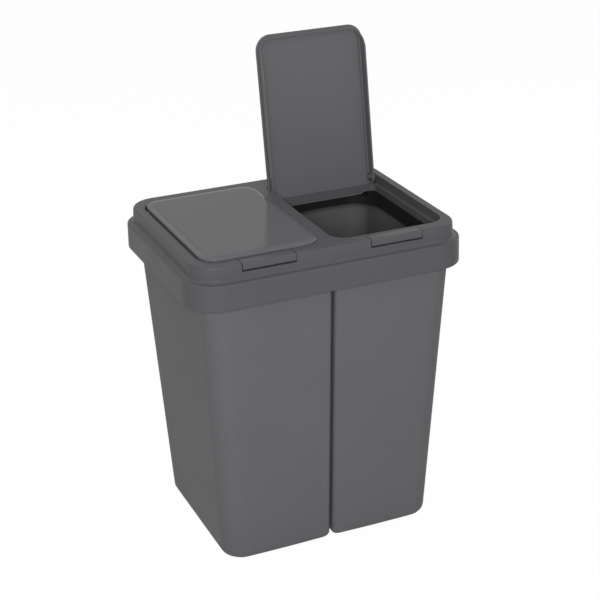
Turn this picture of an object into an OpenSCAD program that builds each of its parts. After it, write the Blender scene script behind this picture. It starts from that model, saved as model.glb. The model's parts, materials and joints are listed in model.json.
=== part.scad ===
// Double recycling bin: two tapered tubs side by side under one frame,
// with two hinged lids, two push latches and two bag rings.
// The left lid is shut and the right lid stands open, as it does in use.
// Origin: centre of the footprint on the floor. +X right, +Y back, +Z up.

/* [Frame] */
// Width of the frame's skirt
frame_w = 430; // [424:1:450]
// Depth of the frame's skirt
frame_d = 336; // [330:1:356]
// Corner radius of the skirt
skirt_corner_r = 50.5; // [46:0.5:56]
// Height of the skirt below the shoulder
skirt_h = 38.5; // [30:0.5:50]
// Height of the upper ring above the shoulder
ring_h = 24; // [23.5:0.5:32]
// Wall thickness of the frame
frame_wall = 2.5; // [2:0.1:3]
// Radius of the shoulder's rounded edge
shoulder_r = 3; // [2.6:0.1:8]
// Distance that the ring stands in from the skirt
ring_inset = 10; // [9:0.5:11.5]
// Radius of the ring's rounded top edge
ring_top_r = 4; // [3.5:0.5:5]
// Distance from the skirt's side to the lid recess
side_band = 24.7; // [22:0.1:26]
// Distance from the skirt's front to the lid recess
front_band = 32.5; // [32:0.5:36]
// Distance from the skirt's back to the lid recess
back_band = 35.5; // [33:0.5:38]
// Width of the divider between the two lids
divider_w = 23; // [21:0.5:24]
// Corner radius of the lid recess
recess_r = 27; // [25:0.5:28]
// Depth of the ledge below the frame's top
ledge_depth = 13.2; // [12.5:0.1:14]
// Width of the ledge at the outer side
ledge_w = 6.3; // [5.5:0.1:7]
// Gap between the drip lip and the bag ring
drip_gap = 0.8; // [0.5:0.1:4]

/* [Tubs] */
// Height of each tub
tub_h = 465; // [380:1:560]
// Width across both tubs at the top
tubs_top_w = 392; // [388:1:396]
// Depth of the tubs at the top
tubs_top_d = 317; // [310:1:319]
// Width across both tubs at the base
tubs_base_w = 342; // [320:1:380]
// Depth of the tubs at the base
tubs_base_d = 271; // [250:1:305]
// Wall thickness of the tubs
tub_wall = 2.5; // [2:0.1:3]
// Gap between the two tubs' flat walls
tub_gap = 4.4; // [3:0.1:5]
// Corner radius at the outer corners
tub_corner_r = 33; // [26:1:38]
// Corner radius beside the gap
tub_inner_r = 7; // [4:0.5:12]
// Radius of the rounded edge round the base
base_r = 12; // [8:1:18]
// Height of the four relieved corners of the base
corner_lift = 1.5; // [0.5:0.1:2]
// How far the front and back bulge at mid width
tub_bow = 1.2; // [0.5:0.1:1.5]
// Height of the turned-down edge of the rim
rim_drop = 13; // [6:0.5:20]

/* [Lids] */
// Thickness of the lid's outer edge
lid_edge_h = 1.6; // [1:0.1:2.5]
// Height that the lid's middle stands above its edge
lid_rise = 3.4; // [2:0.1:5]
// Width of the rounded border of the lid
border_w = 12; // [10:0.5:15]
// Wall thickness of the lids
lid_wall = 2.5; // [2:0.1:3]
// Corner radius of the lids
lid_corner_r = 24; // [20:0.5:24]
// Gap between the lid and the frame's side
lid_outer_gap = 3.4; // [2.8:0.1:4]
// How far the lid reaches over the divider
divider_lap = 1.7; // [1.5:0.1:2.2]
// Gap between the lid and the frame's back
lid_rear_gap = 3.5; // [3:0.1:5]
// How far the lid's lip reaches over the frame's front
lip_reach = 2; // [1:0.1:4]
// Angle that the open lid has turned
open_angle = 98.5; // [60:0.5:98.5]

/* [Hinges] */
// Distance from the lid's rear edge to the hinge
hinge_back = 26.9; // [26:0.1:28]
// Depth of the hinge below the frame's top
hinge_drop = 4.3; // [4:0.1:4.8]
// Radius of the hinge pins
pin_r = 2.5; // [1.8:0.1:2.8]
// Running clearance round the hinge pins
pin_clear = 0.06; // [0.03:0.01:0.1]
// Radius of the pin heads
pin_head_r = 4; // [3.4:0.1:4.4]
// Thickness of the pin heads
pin_head_h = 2.2; // [1.5:0.1:3]
// Thickness of the boss inside the lid's rim
boss_h = 2.5; // [1.5:0.1:3.5]
// Radius of the boss inside the lid's rim
boss_r = 5; // [4.6:0.1:6]

/* [Latches] */
// Width of a latch
latch_w = 80; // [50:1:90]
// Height of a latch's front
latch_h = 9.8; // [8.5:0.1:10.2]
// Depth of the pocket below the frame's top
pocket_depth = 12.8; // [12.5:0.1:14]
// Radius of the latch pins
latch_pin_r = 1.5; // [1:0.1:1.8]
// Width of the latch's nose
nose_w = 22; // [10:1:40]

/* [Bag rings] */
// Thickness of the bag rings
liner_wall = 2.2; // [1.6:0.1:2.2]
// Distance from the frame's side to the ring's hole
liner_side = 32; // [30:0.1:36]
// Distance from the middle of the bin to the ring's hole
liner_inner = 13; // [12.5:0.1:18]
// Distance from the frame's front to the ring's hole
liner_front = 36; // [34:0.5:44]
// Distance from the frame's back to the ring's hole
liner_back = 59; // [57:0.5:72]
// Corner radius of the ring's hole at the divider
liner_r = 25; // [15:0.5:30]
// Corner radius of the ring's hole at the outer side
liner_outer_r = 46; // [30:0.5:55]
// Depth of the ring's collar below the tub's top
collar_h = 19.5; // [16:0.5:40]

/* [Hidden] */

tub_color = "#6a6a6d";
frame_color = "#5d5e61";
lid_color = "#66676a";
black_color = "#1a1a1b";
pin_color = "#77787a";

$fn = 64;
corner_n = 8;
run_n = 6;
arc_n = 6;

// Clearances and small sizes
body_gap = 0.3;
overrun = 1;
tail_clear = 0.8;
skirt_draft = 0.6;
ring_draft = 0.8;
cove_r = 6;
shoulder_flat = 0.4;
groove_r = min(cove_r, ring_inset - skirt_draft - shoulder_r - shoulder_flat);
shoulder_in_r = 1.2;
plate_lap = 3;
inner_ledge_w = 2.5;
front_ledge_w = 2.5;
ledge_rear_r = 8;
stop_reach = 9.5;
lug_half = 7.5;
lug_t = 7;
lug_depth = 12.5;
lug_web = 3.6;

// Levels, from the floor up
shoulder_z = tub_h + body_gap + frame_wall;
skirt_z = shoulder_z - skirt_h;
frame_top_z = shoulder_z + ring_h;
ledge_z = frame_top_z - ledge_depth;
drip_z = tub_h + body_gap + liner_wall + drip_gap;

// The right-hand lid recess; the left one is its mirror image
recess_x0 = divider_w / 2;
recess_x1 = frame_w / 2 - side_band;
recess_y0 = front_band - frame_d / 2;
recess_y1 = frame_d / 2 - back_band;

// The right-hand lid, shut
lid_x0 = recess_x0 - divider_lap;
lid_x1 = recess_x1 - lid_outer_gap;
lid_y0 = recess_y0 - lip_reach;
lid_y1 = recess_y1 - lid_rear_gap;
lid_mid_x = (lid_x0 + lid_x1) / 2;
lid_mid_y = (lid_y0 + lid_y1) / 2;
lid_lift = 0.4;
lip_z = frame_top_z + lid_lift;
lid_edge_z = lip_z + lid_edge_h;
lid_top_z = lid_edge_z + lid_rise;
border_lap = 2;
rim_inset = 0.5;
rim_inner_gap = 0.9;
rim_front_gap = 1.5;
rim_front_h = 3;
rim_turn = 30;
rim_turn_start = 10;
rim_z = ledge_z + body_gap + rim_inset / 2;
heel_start = 5;

// Hinge axis and bearings
hinge_y = lid_y1 - hinge_back;
hinge_z = frame_top_z - hinge_drop;
ledge_end_y = hinge_y - stop_reach;
lug_z = frame_top_z - lug_depth;
bore_r = pin_r + pin_clear;
pin_end_gap = 0.7;
rim_x0 = recess_x0 + rim_inner_gap;
rim_x1 = lid_x1 - rim_inset;
rim_y0 = recess_y0 + rim_front_gap;
rim_y1 = lid_y1 - rim_inset;
rim_in_max = max(rim_x0 - lid_x0, rim_y0 - lid_y0) + lid_wall;
tail_x0 = lid_x0 - tail_clear;

// Latches, on the same middle as the lids
latch_side_gap = 1.2;
latch_proud = 0.8;
latch_lift = 0.1;
latch_t = 2.2;
latch_hub_r = 3.2;
latch_clear = 0.06;
latch_axis_in = 23.5;
latch_axis_drop = 5.3;
latch_back_in = 27;
pocket_back_in = 28.6;
pocket_wall = 2.5;
pin_seat = 2;
nose_t = 2.4;
nose_drop = 2.7;
nose_end_gap = 1;
window_gap = 2;
latch_y = latch_axis_in - frame_d / 2;
latch_z = frame_top_z - latch_axis_drop;
latch_top_z = frame_top_z + latch_lift;
pocket_z = frame_top_z - pocket_depth;
pocket_half = latch_w / 2 + latch_side_gap;

// Bag rings
liner_x0 = liner_inner;
liner_x1 = frame_w / 2 - liner_side;
liner_y0 = liner_front - frame_d / 2;
liner_y1 = frame_d / 2 - liner_back;
liner_z = tub_h + body_gap;
flange_gap = 2.5;
flange_x0 = tub_gap / 2 + body_gap;
flange_x1 = frame_w / 2 - ring_inset - frame_wall - flange_gap;
flange_y1 = frame_d / 2 - ring_inset - frame_wall - flange_gap;
flange_r = skirt_corner_r - ring_inset - frame_wall - flange_gap;
tail_r = norm([hinge_back, lid_edge_z - hinge_z]);
pan_clear = 1.5;
pan_z = hinge_z - tail_r - pan_clear;
pan_side_gap = 2;
pan_r = 9;
pan_x0 = lid_x0 - pan_side_gap;
pan_x1 = lid_x1 + pan_side_gap;
pan_y0 = ledge_end_y - pan_side_gap;
pan_y1 = recess_y1 + pan_side_gap;

// Rims and bases of the tubs
rim_in = skirt_draft + frame_wall + shoulder_in_r;
rim_out_x = frame_w / 2 - rim_in;
rim_out_y = frame_d / 2 - rim_in;
rim_out_r = skirt_corner_r - rim_in;
relief_w = 22;

// Points on an arc about a centre, from one angle to another
function arc(cx, cy, r, from, to) =
    [for (i = [0:arc_n]) let (a = from + (to - from) * i / arc_n) [cx + r * cos(a), cy + r * sin(a)]];

// A quarter turn of a tub's corner
function corner(cx, cy, r, from) =
    [for (i = [0:corner_n]) let (a = from + 90 * i / corner_n) [cx + r * cos(a), cy + r * sin(a)]];

// Points between two corners along the front or back
function run(xa, xb, y) =
    [for (i = [1:run_n - 1]) [xa + (xb - xa) * i / run_n, y]];

// Outline of a tub: r0 beside the gap, r1 at the outer side
function outline(x0, x1, y, r0, r1) = concat(
    corner(x1 - r1, r1 - y, r1, 270),
    corner(x1 - r1, y - r1, r1, 0),
    run(x1 - r1, x0 + r0, y),
    corner(x0 + r0, y - r0, r0, 90),
    corner(x0 + r0, r0 - y, r0, 180),
    run(x0 + r0, x1 - r1, -y)
);

// The same outline with its front and back bulging at mid width
function bowed(points, x0, x1) =
    [for (p = points) let (u = (2 * p[0] - x0 - x1) / (x1 - x0))
        [p[0], p[1] + sign(p[1]) * tub_bow * (1 - u * u)]];

// Outer face of a tub at a level
function tub_x(z) = (tubs_base_w + (tubs_top_w - tubs_base_w) * z / tub_h) / 2;
function tub_y(z) = (tubs_base_d + (tubs_top_d - tubs_base_d) * z / tub_h) / 2;

// One level of a tub, set in from its outer face
function tub_level(z, inset) =
    let (x0 = tub_gap / 2 + inset, x1 = tub_x(z) - inset)
    [for (p = bowed(outline(x0, x1, tub_y(z) - inset, tub_inner_r, tub_corner_r - inset), x0, x1))
        [p[0], p[1], z]];

// Levels of a tub from its rounded base up to z; t is the distance inside the outer face
function tub_levels(t, top) = concat(
    [for (i = [0:arc_n]) let (a = 90 * i / arc_n)
        tub_level(t + (base_r - t) * (1 - cos(a)), t + (base_r - t) * (1 - sin(a)))],
    [tub_level(top, t)]
);

// Solid through a stack of outlines with the same number of points
module loft(levels) {
    n = len(levels[0]);
    m = len(levels);
    points = [for (level = levels) for (p = level) p];
    sides = [for (k = [0:m - 2], i = [0:n - 1]) let (j = (i + 1) % n)
        each [[k * n + i, (k + 1) * n + i, (k + 1) * n + j], [k * n + i, (k + 1) * n + j, k * n + j]]];
    bottom = [for (i = [0:n - 1]) i];
    top = [for (i = [0:n - 1]) m * n - 1 - i];
    polyhedron(points, concat([bottom], sides, [top]));
}

// Half of a rounded rectangle: corners of radius r at xa, square at xb
module half_rect(xa, xb, y0, y1, r) {
    s = sign(xb - xa);
    translate([min(xa + s * r, xb), y0])
        square([abs(xb - xa) - r, y1 - y0]);
    translate([min(xa, xb), y0 + r])
        square([abs(xb - xa), y1 - y0 - 2 * r]);
    for (y = [y0 + r, y1 - r])
        translate([xa + s * r, y])
            circle(r);
}

// Rounded rectangle with its own corner radius at each side
module round_rect(x0, x1, y0, y1, r0, r1) {
    half_rect(x0, (x0 + x1) / 2, y0, y1, r0);
    half_rect(x1, (x0 + x1) / 2, y0, y1, r1);
}

// Plate between two levels
module slab(z0, z1) {
    translate([0, 0, z0])
        linear_extrude(z1 - z0)
            children();
}

// Block between two corners
module block(x0, x1, y0, y1, z0, z1) {
    translate([x0, y0, z0])
        cube([x1 - x0, y1 - y0, z1 - z0]);
}

// Round bar along X
module bar(x0, x1, y, z, r) {
    translate([x0, y, z])
        rotate([0, 90, 0])
            cylinder(h = x1 - x0, r = r);
}

// Section carried round a rounded rectangle; the section's x is the distance in from the edge
module swept(w, d, r) {
    for (k = [0:3]) {
        length = (k % 2 == 0 ? d : w) - 2 * r;
        out = (k % 2 == 0 ? w : d) / 2;
        rotate([0, 0, 90 * k])
            translate([out, length / 2, 0])
                rotate([90, 0, 0])
                    linear_extrude(length)
                        mirror([1, 0])
                            children();
        translate([(k == 0 || k == 3 ? 1 : -1) * (w / 2 - r), (k < 2 ? 1 : -1) * (d / 2 - r), 0])
            rotate([0, 0, 90 * k])
                rotate_extrude(angle = 90)
                    translate([r, 0])
                        mirror([1, 0])
                            children();
    }
}

// The right-hand shape, or its mirror image for the left
module side(s) {
    if (s > 0)
        children();
    else
        mirror([1, 0, 0])
            children();
}

// Section of the skirt, shoulder and ring
module frame_section() {
    half = frame_wall / 2;
    ring_c = ring_inset + ring_draft + ring_top_r;
    polygon(concat(
        arc(half, skirt_z + half, half, 360, 180),
        arc(skirt_draft + shoulder_r, shoulder_z - shoulder_r, shoulder_r, 180, 90),
        arc(ring_inset - groove_r, shoulder_z + groove_r, groove_r, 270, 360),
        arc(ring_c, frame_top_z - ring_top_r, ring_top_r, 180, 90),
        [[ring_c + plate_lap, frame_top_z], [ring_c + plate_lap, frame_top_z - frame_wall]],
        arc(ring_c, frame_top_z - ring_top_r, ring_top_r - frame_wall, 90, 180),
        [[ring_inset + frame_wall, shoulder_z], [ring_inset + frame_wall, shoulder_z - frame_wall]],
        arc(rim_in, shoulder_z - frame_wall - shoulder_in_r, shoulder_in_r, 90, 180)
    ));
}

// Plan of the lid recess, grown by t; behind the hinge it is wider, for the lid's tail
module recess_plan(t) {
    round_rect(recess_x0 - t, recess_x1 + t, recess_y0 - t, recess_y1 + t, recess_r + t, recess_r + t);
    intersection() {
        round_rect(tail_x0 - t, recess_x1 + t, recess_y0 - t, recess_y1 + t, recess_r + t, recess_r + t);
        translate([0, hinge_y - t])
            square([frame_w, frame_d]);
    }
}

// Plan of the hole inside the ledge and the rear lip, grown by t
module ledge_plan(t) {
    r = recess_r - front_ledge_w;
    x0 = recess_x0 + inner_ledge_w - t;
    x1 = recess_x1 - ledge_w + t;
    y1 = ledge_end_y - frame_wall + t;
    intersection() {
        round_rect(x0, x1, recess_y0 + front_ledge_w - t, frame_d, r + t, r + t);
        round_rect(x0, x1, -frame_d, y1, ledge_rear_r + t, ledge_rear_r + t);
    }
}

// Walls, ledge and drip lip of one lid recess
module recess_tray() {
    slab(ledge_z - frame_wall, frame_top_z)
        recess_plan(frame_wall);
    slab(drip_z, ledge_z)
        ledge_plan(frame_wall);
}

// Space of one lid recess, open below behind the rear lip
module recess_space() {
    slab(ledge_z, frame_top_z + overrun)
        recess_plan(0);
    slab(drip_z - overrun, frame_top_z)
        ledge_plan(0);
    slab(drip_z - overrun, frame_top_z)
        intersection() {
            recess_plan(0);
            translate([0, ledge_end_y])
                square([frame_w, frame_d]);
        }
}

// Bearing block behind the recess wall for the outer hinge pin
module outer_lug() {
    block(recess_x1, recess_x1 + lug_t, hinge_y - lug_half, hinge_y + lug_half, lug_z, frame_top_z);
}

// Bearing block inside the divider for both inner hinge pins
module divider_lug() {
    block(-tail_x0, tail_x0, hinge_y - lug_half, hinge_y + lug_half, lug_z, frame_top_z);
}

// Walls round the latch pocket
module pocket_block() {
    half = pocket_half + pocket_wall;
    ring_c = ring_inset + ring_draft + ring_top_r;
    block(lid_mid_x - half, lid_mid_x + half,
        ring_inset + ring_draft + frame_wall / 2 - frame_d / 2, recess_y0,
        pocket_z - pocket_wall, frame_top_z - ring_top_r);
    block(lid_mid_x - half, lid_mid_x + half, ring_c - frame_d / 2, recess_y0,
        pocket_z - pocket_wall, frame_top_z);
}

// Space of the latch pocket, the nose's window and the seats of the latch pin
module pocket_space() {
    half = pocket_half;
    window = nose_w / 2 + window_gap;
    block(lid_mid_x - half, lid_mid_x + half, -frame_d / 2, pocket_back_in - frame_d / 2,
        pocket_z, frame_top_z + overrun);
    block(lid_mid_x - window, lid_mid_x + window, latch_y, recess_y0 + overrun,
        latch_z - nose_drop - window_gap, frame_top_z - frame_wall);
    bar(lid_mid_x - half - pin_seat, lid_mid_x + half + pin_seat, latch_y, latch_z, latch_pin_r);
}

module top_frame() {
    plate_in = ring_inset + ring_draft + ring_top_r;
    color(frame_color)
        difference() {
            union() {
                swept(frame_w, frame_d, skirt_corner_r)
                    frame_section();
                slab(frame_top_z - frame_wall, frame_top_z)
                    round_rect(plate_in - frame_w / 2, frame_w / 2 - plate_in,
                        plate_in - frame_d / 2, frame_d / 2 - plate_in,
                        skirt_corner_r - plate_in, skirt_corner_r - plate_in);
                for (s = [-1, 1])
                    side(s) {
                        recess_tray();
                        outer_lug();
                        pocket_block();
                    }
                divider_lug();
            }
            for (s = [-1, 1])
                side(s) {
                    recess_space();
                    bar(lug_web / 2, recess_x0, hinge_y, hinge_z, bore_r);
                    bar(lid_x1, recess_x1 + lug_t - lug_web / 2, hinge_y, hinge_z, bore_r);
                    pocket_space();
                }
        }
}

// One tub, the right-hand one
module bucket() {
    color(tub_color)
        difference() {
            union() {
                loft(tub_levels(0, tub_h));
                slab(tub_h - tub_wall, tub_h)
                    rim_plan(0);
                slab(tub_h - rim_drop, tub_h)
                    difference() {
                        rim_plan(0);
                        rim_plan(tub_wall);
                    }
            }
            loft(tub_levels(tub_wall, tub_h + overrun));
            for (x = [tub_gap / 2 - overrun, tub_x(0) - relief_w], y = [-tub_y(0) - overrun, tub_y(0) - relief_w])
                block(x, x + relief_w + overrun, y, y + relief_w + overrun, -overrun, corner_lift);
        }
}

// Plan of the tub's rim, set in by t everywhere but at the gap
module rim_plan(t) {
    round_rect(tub_gap / 2 - sign(t) * overrun, rim_out_x - t, t - rim_out_y, rim_out_y - t,
        tub_inner_r, rim_out_r - t);
}

// Bag ring of the right-hand tub
module liner_ring() {
    color(black_color)
        difference() {
            union() {
                slab(tub_h - collar_h, liner_z + liner_wall)
                    liner_plan(liner_wall);
                slab(liner_z, liner_z + liner_wall)
                    round_rect(flange_x0, flange_x1, -flange_y1, flange_y1, tub_inner_r, flange_r);
                slab(pan_z - liner_wall, liner_z + liner_wall)
                    pan_plan(liner_wall);
            }
            slab(tub_h - collar_h - overrun, liner_z + liner_wall + overrun)
                liner_plan(0);
            slab(pan_z, liner_z + liner_wall + overrun)
                pan_plan(0);
        }
}

// Plan of the bag ring's hole, grown by t
module liner_plan(t) {
    round_rect(liner_x0 - t, liner_x1 + t, liner_y0 - t, liner_y1 + t, liner_r + t, liner_outer_r + t);
}

// Plan of the bag ring's pan, where the lid's tail swings, grown by t
module pan_plan(t) {
    round_rect(pan_x0 - t, pan_x1 + t, pan_y0 - t, pan_y1 + t, pan_r + t, pan_r + t);
}

// Section of the lid's edge; x is the distance in from the edge
module border_section() {
    polygon(concat(
        [[0, lip_z]],
        [for (i = [0:arc_n]) let (a = 90 * i / arc_n)
            [border_w * (1 - cos(a)), lid_edge_z + lid_rise * sin(a)]],
        [[border_w + border_lap, lid_top_z], [border_w + border_lap, lid_top_z - lid_wall],
            [rim_in_max, lid_top_z - lid_wall], [rim_in_max, lip_z]]
    ));
}

// Right-hand lid, shut
module lid() {
    lid_w = lid_x1 - lid_x0;
    lid_d = lid_y1 - lid_y0;
    color(lid_color)
        difference() {
            union() {
                translate([lid_mid_x, lid_mid_y, 0])
                    swept(lid_w, lid_d, lid_corner_r)
                        border_section();
                slab(lid_top_z - lid_wall, lid_top_z)
                    round_rect(lid_x0 + border_w, lid_x1 - border_w, lid_y0 + border_w, lid_y1 - border_w,
                        lid_corner_r - border_w, lid_corner_r - border_w);
                difference() {
                    slab(rim_z, lip_z + lid_lift)
                        difference() {
                            lid_rim_plan(0);
                            lid_rim_plan(lid_wall);
                        }
                    rim_relief();
                }
                bar(rim_x1 - lid_wall - boss_h, rim_x1, hinge_y, hinge_z, boss_r);
                bar(rim_x0, rim_x0 + lid_wall + boss_h, hinge_y, hinge_z, boss_r);
            }
            for (x = [rim_x0, rim_x1 - lid_wall - boss_h])
                bar(x - overrun, x + lid_wall + boss_h + overrun, hinge_y, hinge_z, pin_r);
        }
}

// Plan of the lid's rim, set in by t
module lid_rim_plan(t) {
    round_rect(rim_x0 + t, rim_x1 - t, rim_y0 + t, rim_y1 - t,
        lid_corner_r - rim_inset - t, lid_corner_r - rim_inset - t);
}

// Space below the rim: its lower edge rises behind the hinge and at the front
module rim_relief() {
    low = rim_z - overrun;
    front_z = lip_z - rim_front_h;
    translate([lid_x0, 0, 0])
        rotate([90, 0, 90])
            linear_extrude(lid_x1 - lid_x0) {
                polygon([
                    [hinge_y + heel_start, low],
                    [hinge_y + heel_start, rim_z],
                    [rim_y1 - lid_wall, lip_z],
                    [lid_y1 + overrun, lip_z],
                    [lid_y1 + overrun, low]
                ]);
                polygon([
                    [rim_y0 + rim_turn, low],
                    [rim_y0 + rim_turn, rim_z],
                    [rim_y0 + rim_turn_start, front_z],
                    [lid_y0 - overrun, front_z],
                    [lid_y0 - overrun, low]
                ]);
            }
}

// Hinge pin with its head inside the rim
module pin_outer() {
    inside = rim_x1 - lid_wall - boss_h;
    color(pin_color) {
        bar(inside, recess_x1 + lug_t - lug_web / 2 - pin_end_gap, hinge_y, hinge_z, pin_r);
        bar(inside - pin_head_h, inside, hinge_y, hinge_z, pin_head_r);
    }
}

module pin_inner() {
    inside = rim_x0 + lid_wall + boss_h;
    color(pin_color) {
        bar(lug_web / 2 + pin_end_gap, inside, hinge_y, hinge_z, pin_r);
        bar(inside, inside + pin_head_h, hinge_y, hinge_z, pin_head_r);
    }
}

// Section of a latch; x is the distance in from the frame's front
module latch_section() {
    front = ring_inset + ring_draft - latch_proud;
    back = latch_back_in;
    r = ring_top_r;
    polygon(concat(
        [[front, latch_top_z - latch_h]],
        arc(front + r, latch_top_z - r, r, 180, 90),
        [[back, latch_top_z], [back, latch_top_z - latch_t]],
        arc(front + r, latch_top_z - r, r - latch_t, 90, 180),
        [[front + latch_t, latch_top_z - latch_h]]
    ));
    translate([latch_axis_in, latch_z])
        circle(latch_hub_r);
    translate([latch_axis_in - latch_t / 2, latch_z])
        square([latch_t, latch_axis_drop - latch_t / 2]);
}

module latch() {
    color(lid_color)
        difference() {
            union() {
                translate([lid_mid_x - latch_w / 2, -frame_d / 2, 0])
                    rotate([90, 0, 90])
                        linear_extrude(latch_w)
                            latch_section();
                block(lid_mid_x - nose_w / 2, lid_mid_x + nose_w / 2, latch_y,
                    rim_y0 - nose_end_gap, latch_z - nose_drop, latch_z - nose_drop + nose_t);
            }
            bar(lid_mid_x - latch_w / 2 - overrun, lid_mid_x + latch_w / 2 + overrun,
                latch_y, latch_z, latch_pin_r + latch_clear);
        }
}

module latch_pin() {
    half = pocket_half + pin_seat;
    color(pin_color)
        bar(lid_mid_x - half, lid_mid_x + half, latch_y, latch_z, latch_pin_r);
}

// The right-hand lid and its pins turned open about the hinge
module opened() {
    translate([0, hinge_y, hinge_z])
        rotate([-open_angle, 0, 0])
            translate([0, -hinge_y, -hinge_z])
                children();
}

module bucket_left() { side(-1) bucket(); }
module bucket_right() { side(1) bucket(); }
module lid_left() { side(-1) lid(); }
module lid_right() { opened() lid(); }
module hinge_pin_left_outer() { side(-1) pin_outer(); }
module hinge_pin_left_inner() { side(-1) pin_inner(); }
module hinge_pin_right_outer() { opened() pin_outer(); }
module hinge_pin_right_inner() { opened() pin_inner(); }
module latch_left() { side(-1) latch(); }
module latch_right() { side(1) latch(); }
module latch_pin_left() { side(-1) latch_pin(); }
module latch_pin_right() { side(1) latch_pin(); }
module liner_ring_left() { side(-1) liner_ring(); }
module liner_ring_right() { side(1) liner_ring(); }

bucket_left();
bucket_right();
top_frame();
lid_left();
lid_right();
hinge_pin_left_outer();
hinge_pin_left_inner();
hinge_pin_right_outer();
hinge_pin_right_inner();
latch_left();
latch_right();
latch_pin_left();
latch_pin_right();
liner_ring_left();
liner_ring_right();
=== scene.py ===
import bmesh
import bpy
import json
import math
from mathutils import Matrix, Vector


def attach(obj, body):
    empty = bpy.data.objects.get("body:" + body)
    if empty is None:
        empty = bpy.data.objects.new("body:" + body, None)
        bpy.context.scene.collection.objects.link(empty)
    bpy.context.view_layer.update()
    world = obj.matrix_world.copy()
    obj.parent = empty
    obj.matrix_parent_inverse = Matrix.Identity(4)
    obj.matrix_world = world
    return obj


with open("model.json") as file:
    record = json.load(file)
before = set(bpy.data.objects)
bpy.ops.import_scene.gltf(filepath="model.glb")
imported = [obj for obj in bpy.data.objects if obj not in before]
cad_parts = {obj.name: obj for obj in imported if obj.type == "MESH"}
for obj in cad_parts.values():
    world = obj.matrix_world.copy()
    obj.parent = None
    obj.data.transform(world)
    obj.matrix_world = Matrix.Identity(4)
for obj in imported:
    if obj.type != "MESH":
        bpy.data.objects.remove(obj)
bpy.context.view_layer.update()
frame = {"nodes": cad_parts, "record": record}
nodes = frame["nodes"]
scene = bpy.context.scene


def place(name, data):
    """New object in the scene's own collection."""
    obj = bpy.data.objects.new(name, data)
    scene.collection.objects.link(obj)
    return obj


# ---------------------------------------------------------------- camera
# Solved from the object's straight lines in the photo: degrees and metres.
AZIMUTH, ELEVATION, ROLL = -22.8, 25.03, -1.49
DISTANCE = 2.32358
TARGET = Vector((-0.00053, 0.00535, 0.27935))
# The photo's focal length, principal point and side, in its own pixels.
FOCAL_PX, CENTRE_X, CENTRE_Y, FRAME_PX = 1499.95, 291.4, 340.01, 600.0
SENSOR_MM = 36.0
CLIP_NEAR, CLIP_FAR = 0.05, 50.0

cam_data = bpy.data.cameras.new("camera")
cam_data.sensor_width = SENSOR_MM
cam_data.lens = FOCAL_PX / FRAME_PX * SENSOR_MM
cam_data.shift_x = (FRAME_PX / 2 - CENTRE_X) / FRAME_PX
cam_data.shift_y = (CENTRE_Y - FRAME_PX / 2) / FRAME_PX
cam_data.clip_start, cam_data.clip_end = CLIP_NEAR, CLIP_FAR
camera = place("camera", cam_data)
scene.camera = camera
az, el, roll = map(math.radians, (AZIMUTH, ELEVATION, ROLL))
back = Vector((math.sin(az) * math.cos(el), -math.cos(az) * math.cos(el), math.sin(el)))
right = (-back).cross(Vector((0, 0, 1))).normalized()
up = right.cross(-back)
right, up = (right * math.cos(roll) + up * math.sin(roll),
             up * math.cos(roll) - right * math.sin(roll))
turn = Matrix((right, up, back)).transposed().to_4x4()
camera.matrix_world = Matrix.Translation(TARGET + back * DISTANCE) @ turn


# ---------------------------------------------------------------- materials
GRAIN_SCALE = 900.0                 # noise scale of the moulded grain
SPECK_SHARE = 0.35                  # of the grain's scale, for the specks in the colour
CLOUD_SCALE = 9.0                   # noise scale of the mottling
CLOUD_DETAIL, FINE_DETAIL = 3.0, 2.0
CLOUD_LOW, CLOUD_HIGH = 0.3, 0.7    # the noise mostly stays between these
SUM_LOW, SUM_HIGH = 0.6, 1.4        # and the sum of two noises between these
BUMP_STRENGTH = 0.5
PLASTIC_IOR = 1.49


def srgb(v):
    """Linear value of a level from 0 to 255, by the sRGB standard's constants."""
    v /= 255.0
    return v / 12.92 if v <= 0.04045 else ((v + 0.055) / 1.055) ** 2.4


def empty_material(name):
    m = bpy.data.materials.new(name)
    m.use_nodes = True
    m.node_tree.nodes.clear()
    return m


def add(nt, kind, values=None, operation=None):
    """New shader node; values gives its inputs by name or number."""
    node = nt.nodes.new("ShaderNode" + kind)
    if operation:
        node.operation = operation
    for key, value in (values or {}).items():
        node.inputs[key].default_value = value
    return node


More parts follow.
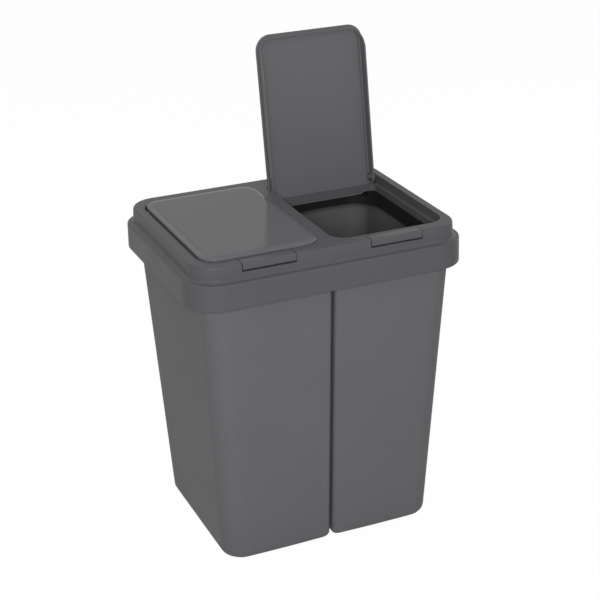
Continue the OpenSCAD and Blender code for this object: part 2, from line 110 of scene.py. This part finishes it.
def plastic(name, rgb, rough, sheen, depth=0.00004, mottle=0.04, vary=0.03):
    """Moulded plastic: fine grain in the relief, slight mottling in colour and gloss.

    sheen is the specular level, depth the grain's height in metres, mottle and vary how far
    the colour and the roughness stray.
    """
    m = empty_material(name)
    nt = m.node_tree
    link = nt.links.new
    out = add(nt, "OutputMaterial")
    shader = add(nt, "BsdfPrincipled", {"IOR": PLASTIC_IOR, "Specular IOR Level": sheen})
    link(shader.outputs["BSDF"], out.inputs["Surface"])
    where = add(nt, "TexCoord").outputs["Object"]

    clouds = add(nt, "TexNoise", {"Scale": CLOUD_SCALE, "Detail": CLOUD_DETAIL})
    specks = add(nt, "TexNoise", {"Scale": GRAIN_SCALE * SPECK_SHARE, "Detail": FINE_DETAIL})
    link(where, clouds.inputs["Vector"])
    link(where, specks.inputs["Vector"])
    both = add(nt, "Math", operation="ADD")
    link(clouds.outputs["Fac"], both.inputs[0])
    link(specks.outputs["Fac"], both.inputs[1])
    shade = add(nt, "MapRange", {"From Min": SUM_LOW, "From Max": SUM_HIGH,
                                 "To Min": 1.0 - mottle, "To Max": 1.0 + mottle})
    link(both.outputs[0], shade.inputs["Value"])
    colour = add(nt, "VectorMath", {0: [srgb(c) for c in rgb]}, "SCALE")
    link(shade.outputs["Result"], colour.inputs["Scale"])
    link(colour.outputs[0], shader.inputs["Base Color"])

    gloss = add(nt, "MapRange", {"From Min": CLOUD_LOW, "From Max": CLOUD_HIGH,
                                 "To Min": rough - vary, "To Max": rough + vary})
    link(clouds.outputs["Fac"], gloss.inputs["Value"])
    link(gloss.outputs["Result"], shader.inputs["Roughness"])

    grain = add(nt, "TexNoise", {"Scale": GRAIN_SCALE, "Detail": FINE_DETAIL})
    link(where, grain.inputs["Vector"])
    bump = add(nt, "Bump", {"Strength": BUMP_STRENGTH, "Distance": depth})
    link(grain.outputs["Fac"], bump.inputs["Height"])
    link(bump.outputs["Normal"], shader.inputs["Normal"])
    return m


# Looks by the record's material slots; every CAD node gets its slot's look.
LOOK = {
    "tub_grey": plastic("tub_plastic", (85, 85, 87), 0.5, 0.05, depth=0.00008),
    "frame_grey": plastic("frame_plastic", (75, 75, 77), 0.38, 0.05),
    "lid_grey": plastic("lid_plastic", (88, 88, 90), 0.13, 0.04, depth=0.00001,
                        mottle=0.012, vary=0.01),
    "latch_grey": plastic("latch_plastic", (74, 74, 76), 0.36, 0.1),
    "pin_grey": plastic("pin_plastic", (90, 90, 92), 0.4, 0.2),
    "ring_black": plastic("ring_plastic", (24, 24, 26), 0.45, 0.2),
}
SLOT = {s["node"]: s["material_slot"] for s in frame["record"]["subparts"]}
for name, obj in nodes.items():
    obj.data.materials.clear()
    obj.data.materials.append(LOOK[SLOT[name]])


# ---------------------------------------------------------------- painted shade: dark rings round the pins' heads
HEAD_T = 0.0022         # thickness of a hinge pin's head, as in part.scad
SHADE_RING_T = 0.0006
SHADE_RING_REACH = 0.0017   # how far a dark ring of painted shade stands out past the head
PLAY = 0.00006          # gap to the head and to the rim
CHAMFER = 0.00015
TURNS = 48              # points round a washer
# Dark grey that paints the shade round the pins' heads.
PAINTED_SHADE = plastic("painted_shade_plastic", (40, 40, 42), 0.5, 0.1)


def painted_shade_ring(pin, inward, body):
    """Flat dark ring round a hinge pin's head, against the lid's rim: a dark piece that paints
    the shade round the head.

    inward is 1 or -1, the side along x on which the pin has its head.
    """
    points = [nodes[pin].matrix_world @ v.co for v in nodes[pin].data.vertices]
    low = Vector(min(q[i] for q in points) for i in range(3))
    high = Vector(max(q[i] for q in points) for i in range(3))
    axis_y, axis_z = (low.y + high.y) / 2, (low.z + high.z) / 2
    seat = (high.x if inward > 0 else low.x) - inward * (HEAD_T - PLAY)
    r_in = (high.z - low.z) / 2 + PLAY
    r_out = r_in + SHADE_RING_REACH
    profile = [(r_in, 0), (r_out, 0), (r_out, SHADE_RING_T - CHAMFER),
               (r_out - CHAMFER, SHADE_RING_T), (r_in + CHAMFER, SHADE_RING_T),
               (r_in, SHADE_RING_T - CHAMFER)]
    bm = bmesh.new()
    loops = []
    for k in range(TURNS):
        angle = 2 * math.pi * k / TURNS
        loops.append([bm.verts.new((seat + inward * height,
                                    axis_y + radius * math.cos(angle),
                                    axis_z + radius * math.sin(angle)))
                      for radius, height in profile])
    for k in range(TURNS):
        here, there = loops[k], loops[(k + 1) % TURNS]
        for i in range(len(profile)):
            j = (i + 1) % len(profile)
            bm.faces.new((here[i], here[j], there[j], there[i]))
    bmesh.ops.recalc_face_normals(bm, faces=bm.faces)
    mesh = bpy.data.meshes.new(pin + "_painted_shade_ring")
    bm.to_mesh(mesh)
    bm.free()
    mesh.materials.append(PAINTED_SHADE)
    piece = place(pin + "_painted_shade_ring", mesh)
    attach(piece, body)


# Four dark rings of painted shade, one round each pin's head.
painted_shade_ring("hinge_pin_left_outer", 1, "lid_left")
painted_shade_ring("hinge_pin_left_inner", -1, "lid_left")
painted_shade_ring("hinge_pin_right_inner", 1, "lid_right")
painted_shade_ring("hinge_pin_right_outer", -1, "lid_right")


# ---------------------------------------------------------------- room
WHITE = (1, 1, 1, 1)
FLOOR_SHADE = 0.9
FLOOR_VEIL = 0.97       # share of plain white in what background rays see of the floor
FLOOR_HALF = 12.0       # half the floor's side
FLOOR_DROP = 0.0005     # keeps the floor just clear of the tubs
AMBIENT = 0.36          # the world's strength for light on the object
BACKGROUND = 1.0        # and for background rays, where 1 is white


def background_rays(nt):
    """1 for camera, glossy and transmission rays, 0 for the rest."""
    path = add(nt, "LightPath")
    shiny = add(nt, "Math", operation="MAXIMUM")
    nt.links.new(path.outputs["Is Glossy Ray"], shiny.inputs[0])
    nt.links.new(path.outputs["Is Transmission Ray"], shiny.inputs[1])
    rays = add(nt, "Math", operation="MAXIMUM")
    nt.links.new(path.outputs["Is Camera Ray"], rays.inputs[0])
    nt.links.new(shiny.outputs[0], rays.inputs[1])
    return rays.outputs[0]


def floor_material(name):
    """Pale matt floor; rays that show the background see it mostly as plain white."""
    m = empty_material(name)
    nt = m.node_tree
    link = nt.links.new
    out = add(nt, "OutputMaterial")
    matt = add(nt, "BsdfDiffuse", {"Color": (FLOOR_SHADE, FLOOR_SHADE, FLOOR_SHADE, 1)})
    white = add(nt, "Emission", {"Color": WHITE, "Strength": BACKGROUND})
    seen = background_rays(nt)
    share = add(nt, "MapRange", {"To Max": FLOOR_VEIL})
    link(seen, share.inputs["Value"])
    both = add(nt, "MixShader")
    link(share.outputs["Result"], both.inputs["Fac"])
    link(matt.outputs[0], both.inputs[1])
    link(white.outputs[0], both.inputs[2])
    link(both.outputs[0], out.inputs["Surface"])
    return m


floor_mesh = bpy.data.meshes.new("floor")
corners = [(x * FLOOR_HALF, y * FLOOR_HALF, 0) for x, y in ((-1, -1), (1, -1), (1, 1), (-1, 1))]
floor_mesh.from_pydata(corners, [], [(0, 1, 2, 3)])
floor = place("floor", floor_mesh)
floor_mesh.materials.append(floor_material("floor_white"))
floor.location.z = -FLOOR_DROP

world = bpy.data.worlds.new("world")
scene.world = world
world.use_nodes = True
sky = world.node_tree
sky.nodes.clear()
sky_out = add(sky, "OutputWorld")
light = add(sky, "Background", {"Color": WHITE})
level = add(sky, "MapRange", {"To Min": AMBIENT, "To Max": BACKGROUND})
sky.links.new(background_rays(sky), level.inputs["Value"])
sky.links.new(level.outputs["Result"], light.inputs["Strength"])
sky.links.new(light.outputs[0], sky_out.inputs["Surface"])

# Name, place, what it points at, side of the square in metres, watts.
LAMPS = [
    ("key", (-1.07, -2.52, 1.58), (0, 0, 0.4), 0.7, 72),
    ("top", (-0.2, -0.55, 2.5), (0, 0, 0.45), 1.4, 12),
    ("rear", (-0.7, 2.1, 2.4), (0, 0, 0.4), 2.4, 22),
    ("side", (2.3, 0.9, 1.5), (0, 0, 0.3), 1.6, 16),
]
for name, at, to, side, watts in LAMPS:
    data = bpy.data.lights.new(name, "AREA")
    data.energy = watts
    data.shape = "SQUARE"
    data.size = side
    lamp = place(name, data)
    lamp.location = at
    lamp.rotation_mode = "QUATERNION"
    lamp.rotation_quaternion = (Vector(to) - Vector(at)).to_track_quat("-Z", "Y")

scene.view_settings.view_transform = "Standard"
